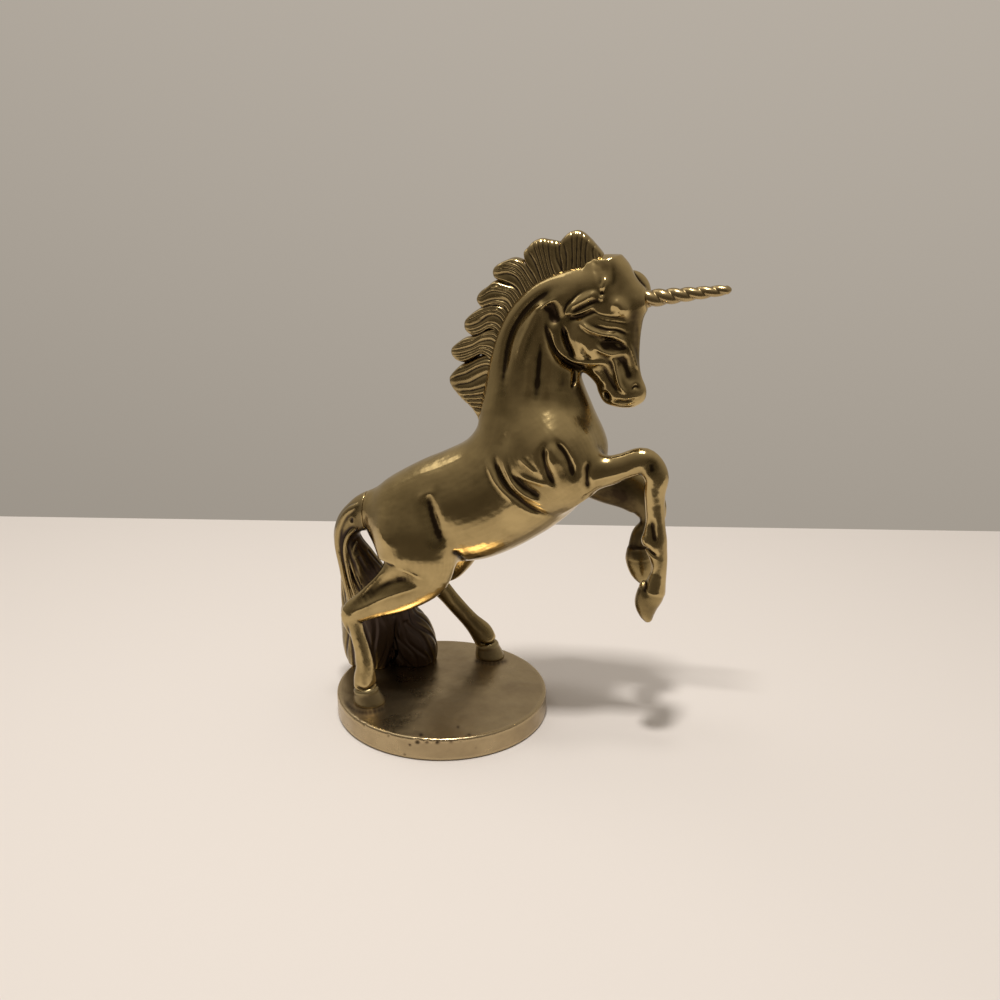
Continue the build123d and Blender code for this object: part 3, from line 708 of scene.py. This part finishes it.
def pillow(front, back):
    """A closed mesh of two sheets of points, sewn together round their edge."""
    rows, columns = front.shape[:2]
    points = np.vstack([front.reshape(-1, 3), back.reshape(-1, 3)])
    number = np.arange(rows * columns).reshape(rows, columns)
    sheet = np.stack([number[:-1, :-1], number[1:, :-1], number[1:, 1:], number[:-1, 1:]], -1).reshape(-1, 4)
    rim = np.concatenate([number[:, 0], number[-1, 1:], number[-2::-1, -1], number[0, -2::-1]])
    after = np.roll(rim, -1)[:-1]
    rim = rim[:-1]
    far = rows * columns
    sewn = np.stack([rim, rim + far, after + far, after], 1)
    return points, np.zeros((0, 3), int), np.vstack([sheet, sheet[:, ::-1] + far, sewn])


# Photograph to figure and back

def flank(pixels, left):
    """A path in the photograph as (forward, up) on the upright plane that far left."""
    look = camera_turn.to_matrix()
    places = []
    for across, down in np.reshape(pixels, (-1, 2)):
        seen = ((across - half_picture) / focal_pixels, (half_picture - down) / focal_pixels, -1.0)
        ray = look @ Vector(seen)
        point = camera_place + ray * ((left - camera_place.y) / ray.y)
        places.append((point.x, point.z))
    return places


def spatial(pixels, left):
    """A smooth path in space through one in the photograph."""
    return smoothed([(x, left, z) for x, z in flank(pixels, left)], limb_steps)


def in_picture(points):
    """Where points appear in the photograph, and the pixels to a millimetre there."""
    seen = (points - np.array(camera_place)) @ np.array(camera_turn.to_matrix())
    scale = focal_pixels / -seen[:, 2]
    return half_picture + seen[:, 0] * scale, half_picture - seen[:, 1] * scale, scale


# Clay

class Clay:
    """Distances to a surface on a regular grid, negative inside."""

    def __init__(self, low, high, grain):
        self.low = np.array(low, dtype=float)
        self.grain = grain
        self.shape = tuple(int(n) for n in np.ceil((np.array(high) - self.low) / grain) + 1)
        self.field = np.full(self.shape, reach, np.float32)
        self.axes = [self.low[axis] + grain * np.arange(self.shape[axis]) for axis in range(3)]

    def block(self, low, high):
        """The part of the grid that holds a box."""
        first = np.clip(np.floor((np.array(low) - self.low) / self.grain).astype(int), 0, None)
        last = np.minimum(np.ceil((np.array(high) - self.low) / self.grain).astype(int) + 1, self.shape)
        return tuple(slice(int(a), int(b)) for a, b in zip(first, last))

    def distances(self, mesh):
        """Where a closed mesh lies in the grid, and the distances to it there."""
        points, triangles, quads = mesh
        where = self.block(points.min(0) - reach, points.max(0) + reach)
        grid = vdb.FloatGrid.createLevelSetFromPolygons(
            (points - self.low).astype(np.float32),
            triangles=triangles.astype(np.uint32),
            quads=quads.astype(np.uint32),
            transform=vdb.createLinearTransform(self.grain),
            halfWidth=reach / self.grain,
        )
        part = np.empty(self.field[where].shape, np.float32)
        grid.copyToArray(part, ijk=tuple(side.start for side in where))
        return where, part

    def add(self, mesh, fillet=least_fillet, sign=1):
        """Adds a form, or cuts it away where the sign is -1, with a fillet."""
        where, part = self.distances(mesh)
        here = sign * self.field[where]
        overlap = np.clip(fillet - np.abs(here - part), 0, None)
        self.field[where] = sign * (np.minimum(here, part) - overlap ** 2 / (4 * fillet))

    def press(self, strokes, clear, side=None):
        """Presses in the strokes that the flanks or one side have, clear of the middle plane."""
        for pixels, left, width, depth, *only in strokes:
            path = smoothed(flank(pixels, left), stroke_steps)
            span = stroke_span * width
            where = self.block(
                np.insert(path.min(0) - span, 1, self.low[1]),
                np.insert(path.max(0) + span, 1, self.axes[1][-1]),
            )
            grid = np.ix_(self.axes[0][where[0]], self.axes[2][where[2]])
            weight = nearness(path, grid, width, stroke_fade_share)
            sides = [side] if side else only or both_sides
            out = np.max([(self.axes[1][where[1]] - middle) * each for each in sides], axis=0)
            sided = eased(np.clip((out - clear) / flank_ramp, 0, 1))
            self.field[where] += (depth * weight[:, None, :] * sided[None, :, None]).astype(np.float32)

    def dent(self, spot, width):
        """Presses a pit in at a spot."""
        path = smoothed([spot, spot + pit_slant], limb_steps)
        where = self.block(path.min(0) - stroke_span * width, path.max(0) + stroke_span * width)
        grid = np.ix_(*(self.axes[axis][where[axis]] for axis in range(3)))
        depth = pit_depth_share * width
        self.field[where] += (depth * nearness(path, grid, width, pit_fade_share)).astype(np.float32)

    def keep(self, axis, at, way, above=0.0):
        """Keeps the clay on one side of a plane across an axis, above a height."""
        plane = np.expand_dims(way * (at - self.axes[axis]), [each for each in range(3) if each != axis])
        cut = np.maximum(self.field, plane.astype(np.float32))
        self.field = np.where(self.axes[2] >= above, cut, self.field)

    def skin(self, forward, up, side):
        """How far left one flank's surface lies at a place (forward, up)."""
        across = int(round((forward - self.low[0]) / self.grain))
        high = int(round((up - self.low[2]) / self.grain))
        inside = self.axes[1][self.field[across, :, high] < 0]
        return inside.min() if side < 0 else inside.max()

    def surface(self):
        """The surface as points and quads."""
        grid = vdb.FloatGrid(reach)
        grid.copyFromArray(self.field, ijk=(0, 0, 0), tolerance=0.0)
        grid.transform = vdb.createLinearTransform(self.grain)
        points, quads = grid.convertToQuads(isovalue=0.0)
        return points + self.low, quads.astype(np.int64)


# Meshes

def edges_of(quads):
    """The two ends of every edge, both ways round."""
    starts = quads.ravel()
    ends = np.roll(quads, -1, axis=1).ravel()
    return np.concatenate([starts, ends]), np.concatenate([ends, starts])


def faces_of(points, quads):
    """The direction that each quad faces, as long as twice its area."""
    corners = points[quads]
    return np.cross(corners[:, 2] - corners[:, 0], corners[:, 3] - corners[:, 1])


def summed(numbers, rows, count):
    """Rows added up by the number of the point that each belongs to."""
    return np.stack([np.bincount(numbers, rows[:, axis], count) for axis in range(3)], 1)


def relaxed(points, starts, ends, rounds):
    """Points drawn towards the mean of their neighbours."""
    count = np.bincount(starts, minlength=len(points))[:, None]
    for _ in range(rounds):
        points = (points + summed(starts, points[ends], len(points)) / count) / 2
    return points


def largest(points, quads):
    """The largest connected surface: its points and quads."""
    label = np.arange(len(points))
    starts, ends = edges_of(quads)
    while True:
        lowest = label.copy()
        np.minimum.at(lowest, starts, label[ends])
        lowest = lowest[lowest]
        if (lowest == label).all():
            break
        label = lowest
    kept = label == np.bincount(label).argmax()
    number = np.cumsum(kept) - 1
    return points[kept], number[quads[kept[quads[:, 0]]]]


def tarnish_and_painted_light_of(points, quads, starts, ends, stains_and_painted_light):
    """How tarnished each point is by hollows and ridges, with spots, painted shade and painted highlights
    laid on along listed paths.
    """
    outward = unit(summed(quads.ravel(), np.repeat(faces_of(points, quads), 4, axis=0), len(points)))
    near = relaxed(points, starts, ends, near_rounds)
    far = relaxed(near, starts, ends, far_rounds)
    fine = ((near - points) * outward).sum(1)
    broad = ((far - points) * outward).sum(1)
    tarnish_and_painted_light = np.clip((np.abs(fine) - fine_start) / fine_range, 0, 1)
    tarnish_and_painted_light *= np.where(fine > 0, groove_tarnish, -ridge_wear)
    tarnish_and_painted_light += np.clip((broad - broad_start) / broad_range, 0, 1) * hollow_tarnish
    tarnish_and_painted_light = relaxed(np.repeat(tarnish_and_painted_light[:, None], 3, 1), starts, ends, tarnish_rounds)[:, 0]
    # Spots, painted shade and painted highlights, laid on along paths in the picture
    across, down, scale = in_picture(points)
    for pixels, left, size, amount in stains_and_painted_light:
        line = smoothed(np.reshape(pixels, (-1, 2)), stain_and_light_steps)
        gap = np.min([(across - x) ** 2 + (down - y) ** 2 for x, y in line], axis=0)
        depth = np.abs(points[:, 1] - left) / max(size, stain_and_light_depth)
        tarnish_and_painted_light += amount * np.exp(-gap / (size * scale) ** 2 - depth ** 2)
    return np.clip(tarnish_and_painted_light, -most_wear, 1)


def in_scene(name, data):
    """A new object in the scene."""
    thing = bpy.data.objects.new(name, data)
    bpy.context.scene.collection.objects.link(thing)
    return thing


def finished(name, clay, nodes, slot, polish=2, stains_and_painted_light=()):
    """Turns clay into a visible piece, which stands for some CAD nodes."""
    points, quads = largest(*clay.surface())
    if (faces_of(points, quads) * points[quads].mean(1)).sum() < 0:
        quads = quads[:, ::-1]
    starts, ends = edges_of(quads)
    points = relaxed(points, starts, ends, polish)
    mesh = bpy.data.meshes.new(name)
    mesh.from_pydata((points / metre).tolist(), [], quads.tolist())
    mesh.update()
    mesh.shade_smooth()
    # Tarnish with painted shade and painted highlights, stored on the points
    tarnish_and_painted_light = tarnish_and_painted_light_of(points, quads, starts, ends, stains_and_painted_light).astype(np.float32)
    mesh.attributes.new("tarnish_and_painted_light", "FLOAT", "POINT").data.foreach_set("value", tarnish_and_painted_light)
    mesh.materials.append(materials[slot])
    thing = in_scene(name, mesh)
    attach(thing, "figurine")
    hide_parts(*nodes)


# Body

def sculpt_body():
    """The body, legs, head and ears in one block of clay."""
    clay = Clay(*body_block)
    clay.add(trunk(trunk_shares))
    clay.add(limb(dock_shares), tail_fillet)
    clay.add(limb(hair_stations(tail_edges[:dock_rows])), tail_fillet)
    clay.keep(0, tail_seam + seam_gap, 1)
    for side in both_sides:
        clay.add(limb(shoulder_shares, side), shoulder_fillet)
    for stations, fillet in leg_forms:
        clay.add(limb(stations), fillet)
    clay.add(trunk(head_shares), head_fillet)
    for side in both_sides:
        clay.add(limb(ear_shares, side), ear_fillet)
    band = spatial(crest_band, middle)
    clay.add(strand(band, np.full(len(band), band_radius), band_points), band_fillet)
    for stations, fillet in small_forms:
        clay.add(limb(stations), fillet)
    for strokes, clear in body_strokes:
        clay.press(strokes, clear)
    for side in both_sides:
        set_eye(clay, side)
    return clay


def set_eye(clay, side):
    """An almond-shaped eyeball with an upper and a lower lid."""
    back, centre, front = np.array(flank(eye_corners, eye_left))
    out = clay.skin(*centre, side) - side * eye_sink
    ball = []
    for (x, z), share in zip((back, (back + centre) / 2, centre, (centre + front) / 2, front), eye_shares):
        deep = out - middle - side * (1 - share) * eye_bulge
        ball.append((x, z - plinth_top, deep, eye_height * share, eye_height * share))
    clay.add(limb(np.array(ball) / horse_height), eye_fillet)
    clay.press(lid_strokes, lid_clear, side)


# Mane and tail

def tuft(crest, upper, lower, outer, count, number):
    """A flat lock between four lines in the photograph, with its strands."""
    out = np.linspace(0, 1, tuft_steps)
    down = np.linspace(0, 1, strand_steps * count)
    upper = crest[:2] + upper + outer[:2]
    lower = crest[-2:] + lower + outer[-2:]
    crest, upper, lower, outer = (
        smoothed(flank(line, middle), limb_steps) for line in (crest, upper, lower, outer)
    )
    u = out[:, None, None]
    v = down[None, :, None]
    sheet = (
        (1 - v) * along(upper, out)[:, None] + v * along(lower, out)[:, None]
        + (1 - u) * along(crest, down)[None] + u * along(outer, down)[None]
        - (1 - u) * (1 - v) * upper[0] - u * (1 - v) * upper[-1] - (1 - u) * v * lower[0] - u * v * lower[-1]
    )
    u = out[:, None]
    v = down[None, :]
    rim = np.clip(np.minimum(v, 1 - v) * count / rim_strands, 0, 1)
    tip = np.clip((1 - u) / tip_share, 0, 1)
    half = tuft_half_width * (1.0 - thinning_share * u ** 2) * domed(rim) ** rim_power
    half = half * (tip_edge_share + (1 - tip_edge_share) * domed(tip))
    wander = v * count + wander_share * np.sin(2 * pi * v * wander_turns + number)
    wander = wander + ripple_share * np.sin(ripple_waves[0] * u + ripple_waves[1] * v + number)
    even = strand_even_share + (1 - strand_even_share) * np.sin(pi * np.clip(u * strand_onset, 0, 1))
    groove = (1 - np.abs(np.sin(pi * wander)) ** strand_power) * even
    half = np.maximum(half - strand_depth * groove, tuft_edge)
    right = np.stack([sheet[..., 0], middle - half, sheet[..., 1]], -1)
    left = np.stack([sheet[..., 0], middle + half, sheet[..., 1]], -1)
    return pillow(right, left)


def sculpt_mane():
    """Seven scalloped tufts, each a flat lock of curved strands."""
    clay = Clay(*mane_block)
    for number, lines in enumerate(tufts):
        clay.add(tuft(*lines, number))
    return clay


def hair_stations(edges):
    """Stations of a limb between two edges in the photograph."""
    stations = []
    for outer, inner, left, width in edges:
        (ax, az), (bx, bz) = flank([outer, inner], left)
        depth = np.hypot(bx - ax, bz - az)
        stations.append(((ax + bx) / 2, (az + bz) / 2 - plinth_top, left - middle, depth, width))
    return np.array(stations) / horse_height


def grooves(stations, count, size, sway, first):
    """Wavy grooves that run down a lock of hair, all round it."""
    centres, fore, across, half_depth, half_width = sections(stations, groove_steps)
    run = np.linspace(0, 1, len(centres))
    tubes = []
    for number in range(count):
        kept = run >= first + groove_stagger_share * (number % 3)
        slow = sway * np.sin(slow_waves * run + slow_phase * sin(2 * pi * number / count))
        quick = quick_sway * np.sin(quick_waves * run + quick_phase * number)
        angle = 2 * pi * number / count + (slow + quick) * np.clip(run * sway_onset, 0, 1)
        path = (
            centres
            + fore * (half_depth * groove_seat_share * np.cos(angle))[:, None]
            + across * (half_width * groove_seat_share * np.sin(angle))[:, None]
        )
        radius = size * (groove_least_share + groove_more_share * sin(groove_variety * number) ** 2)
        ends = np.minimum(run - first, groove_past_share - run)
        radius = radius * np.clip(ends * groove_onset, groove_end_share, 1)
        tubes.append(strand(path[kept], radius[kept]))
    return bundle(tubes)


def sculpt_tail():
    """A dock that runs on from the croup, ribbons of hair and a brush of two lobes."""
    clay = Clay(*tail_block)
    tail = hair_stations(tail_edges)
    lobe = hair_stations(lobe_edges)
    clay.add(trunk(trunk_shares[:croup_rows]))
    clay.add(limb(dock_shares), tail_fillet)
    clay.add(limb(tail), tail_fillet)
    clay.add(limb(lobe), lobe_fillet)
    clay.add(grooves(tail, *tail_grooves), groove_fillet, -1)
    clay.add(grooves(lobe, *lobe_grooves), groove_fillet, -1)
    most, taper, start = ribbon_swell_shares
    for pixels, left, radius in tail_ribbons:
        path = spatial(pixels, left)
        run = np.linspace(0, 1, len(path))
        radii = radius * (most - taper * run) * np.sqrt(np.clip(run * ribbon_onset + start, 0, 1))
        clay.add(strand(path, radii, ribbon_points), ribbon_fillet)
    clay.press(dock_strokes, dock_clear)
    clay.keep(0, tail_seam - seam_gap, -1, dock_height)
    clay.keep(2, plinth_top + foot_gap, 1)
    return clay


# Horn, hooves and plinth

def sculpt_horn():
    """A tapered horn twisted of two strands, with a rounded tip."""
    root = place(*horn_root_share)
    way = unit(np.array((1.0, 0.0, horn_rise)))
    up = np.cross(way, (0.0, 1.0, 0.0))
    turn = turns(round_points)
    out = np.cos(turn)[:, None] * np.array((0.0, 1.0, 0.0)) + np.sin(turn)[:, None] * up
    rings = []
    for share in np.linspace(0, 1, horn_rings):
        radius = horn_root_radius + (horn_tip_radius - horn_root_radius) * share
        radius *= np.sqrt(np.clip((1.0 - share) * horn_tip_taper, horn_tip_share, 1.0))
        spin = 2 * pi * horn_length * share / horn_pitch
        ridges = np.abs(np.cos(turn - spin)) ** horn_ridge_power
        lobes = radius * (horn_waist_share + horn_ridge_share * ridges)
        rings.append(root + way * horn_length * share + lobes[:, None] * out)
    clay = Clay(*horn_block)
    clay.add(tube_mesh(rings))
    return clay


def sculpt_hoof(stations):
    """A hind hoof that widens from its coronet to a flat sole."""
    top = place(*stations[-1][:3])
    foot = np.array((top[0] + hoof_lean, top[1], plinth_top))
    turn = turns(round_points)
    rings = []
    for share, size in hoof_profile_shares:
        centre = top + (foot - top) * share
        rings.append(np.stack([
            centre[0] + hoof_length / 2 * size * np.cos(turn),
            centre[1] + hoof_width / 2 * size * np.sin(turn),
            centre[2] + (1 - share) * hoof_slope * np.cos(turn),
        ], 1))
    low, high, grain = hoof_block
    clay = Clay(foot + low, foot + high, grain)
    clay.add(tube_mesh(rings))
    return clay


def sculpt_plinth():
    """An oval plate with a worn round edge and a few casting pits."""
    low, high = (np.array(corner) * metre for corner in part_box("plinth"))
    half = (high - low) / 2
    turn = turns(plinth_points)
    profile = [(plinth_bevel, 0.0), (0.0, plinth_bevel)]
    for angle in np.linspace(0, pi / 2, rounding_steps):
        height = half[2] * 2 - plinth_rounding * (1 - sin(angle))
        profile.append((plinth_rounding * (1 - cos(angle)), height))
    rings = []
    for inset, height in profile:
        rings.append(np.stack([
            (half[0] - inset) * np.cos(turn), (half[1] - inset) * np.sin(turn), np.full(turn.size, height),
        ], 1))
    clay = Clay(low - plinth_margins[0], high + plinth_margins[1], body_grain)
    clay.add(tube_mesh(rings))
    for angle, height, size in plinth_pits:
        spot = np.array((half[0] * cos(radians(angle)), half[1] * sin(radians(angle)), height))
        clay.dent(spot, size)
    return clay


# Materials

def new_node(tree, kind, inputs=None):
    """A new shader node with inputs set, or linked where an output is given."""
    node = tree.nodes.new("ShaderNode" + kind)
    for name, value in (inputs or {}).items():
        if isinstance(value, bpy.types.NodeSocket):
            tree.links.new(value, node.inputs[name])
        else:
            node.inputs[name].default_value = value
    return node


def colour_ramp(tree, share, first, last):
    """A colour between two, by a share."""
    ramp = new_node(tree, "ValToRGB", {"Fac": share})
    ramp.color_ramp.elements[0].color = first
    ramp.color_ramp.elements[1].color = last
    return ramp


def brass(name, worn, aged, hollow_and_shade, bright, dull):
    """Old brass: bright where worn and where highlights are painted, olive where aged, and brown in its
    hollows and where shade is painted.
    """
    material = bpy.data.materials.new(name)
    material.use_nodes = True
    tree = material.node_tree
    where = new_node(tree, "TexCoord").outputs["Object"]
    clouds = new_node(tree, "TexNoise", {"Vector": where, **cloud_values})
    cloudy = new_node(tree, "MapRange", {"Value": clouds.outputs["Fac"], **cloud_range})
    # Tarnish with painted shade and painted highlights, read from the points
    tarnish_and_painted_light = new_node(tree, "Attribute")
    tarnish_and_painted_light.attribute_name = "tarnish_and_painted_light"
    both = new_node(tree, "Math", {0: tarnish_and_painted_light.outputs["Fac"], 1: cloudy.outputs["Result"]})
    both.operation = "ADD"
    both.use_clamp = True
    total = both.outputs["Value"]
    colour = colour_ramp(tree, total, (*worn, 1.0), (*hollow_and_shade, 1.0))
    colour.color_ramp.elements.new(aged_share).color = (*aged, 1.0)
    roughness = new_node(tree, "MapRange", {"Value": total, "To Min": bright, "To Max": dull})
    shader = tree.nodes["Principled BSDF"]
    shader.inputs["Metallic"].default_value = 1.0
    tree.links.new(colour.outputs["Color"], shader.inputs["Base Color"])
    tree.links.new(roughness.outputs["Result"], shader.inputs["Roughness"])
    below = {}
    for noise, relief in (file_waves, sand_grain):
        waves = new_node(tree, "TexNoise", {"Vector": where, **noise})
        bump = new_node(tree, "Bump", {"Height": waves.outputs["Fac"], **relief, **below})
        below = {"Normal": bump.outputs["Normal"]}
    tree.links.new(bump.outputs["Normal"], shader.inputs["Normal"])
    return material


# Stage

def set_floor():
    """A pale floor that ends behind the figure."""
    mesh = bpy.data.meshes.new("floor")
    mesh.from_pydata([(x, y, 0.0) for x, y in floor_corners], [], [(0, 3, 2, 1)])
    cloth = bpy.data.materials.new("floor_white")
    cloth.use_nodes = True
    shader = cloth.node_tree.nodes["Principled BSDF"]
    shader.inputs["Base Color"].default_value = floor_colour
    shader.inputs["Roughness"].default_value = floor_roughness
    mesh.materials.append(cloth)
    floor = in_scene("floor", mesh)


def set_world():
    """A plain world, darker near the camera, as warm as the wall behind the figure."""
    world = bpy.data.worlds.new("world")
    bpy.context.scene.world = world
    world.use_nodes = True
    tree = world.node_tree
    towards = new_node(tree, "TexCoord").outputs["Generated"]
    split = new_node(tree, "SeparateXYZ", {"Vector": towards})
    high = new_node(tree, "Math", {0: split.outputs["Z"], 1: world_height_share, 2: world_level_share})
    high.operation = "MULTIPLY_ADD"
    far = new_node(tree, "Math", {0: split.outputs["Y"], 1: world_distance_share, 2: high.outputs["Value"]})
    far.operation = "MULTIPLY_ADD"
    shade = colour_ramp(tree, far.outputs["Value"], world_near, world_far)
    tree.links.new(shade.outputs["Color"], tree.nodes["Background"].inputs["Color"])


def set_lamps():
    """Three soft lamps above the figure."""
    for name, spot, size, power in lamps:
        lamp = bpy.data.lights.new(name, "AREA")
        lamp.size = size
        lamp.energy = power
        lamp.color = lamp_colour
        thing = in_scene(name, lamp)
        thing.location = spot
        thing.rotation_euler = (lamp_aim - Vector(spot)).to_track_quat("-Z", "Y").to_euler()


def set_camera():
    """The camera, where the photograph was taken from."""
    lens = bpy.data.cameras.new("camera")
    lens.sensor_width = sensor_width
    lens.lens = sensor_width * lens_share
    camera = in_scene("camera", lens)
    camera.location = camera_place / metre
    camera.rotation_euler = camera_turn
    bpy.context.scene.camera = camera


set_floor()
set_world()
set_lamps()
set_camera()
bpy.context.scene.view_settings.view_transform = "Standard"
materials = {name: brass(name, *values) for name, values in finishes.items()}

finished("body", sculpt_body(), body_nodes, "body_brass", stains_and_painted_light=body_patina_and_painted_light)
finished("mane_locks", sculpt_mane(), ["mane"], "hair_brass", polish=1)
finished("tail_locks", sculpt_tail(), ["tail"], "hair_brass", polish=1, stains_and_painted_light=tail_darkening)
finished("twisted_horn", sculpt_horn(), ["horn"], "horn_brass", polish=1)
finished("right_hoof", sculpt_hoof(right_hind_shares), ["right_hind_hoof"], "hoof_brass")
finished("left_hoof", sculpt_hoof(left_hind_shares), ["left_hind_hoof"], "hoof_brass")
finished("oval_plinth", sculpt_plinth(), ["plinth"], "plinth_brass", stains_and_painted_light=plinth_spots_and_hoof_shadows)
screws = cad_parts["hoof_screws"]
screws.data.materials.clear()
screws.data.materials.append(materials["hoof_brass"])
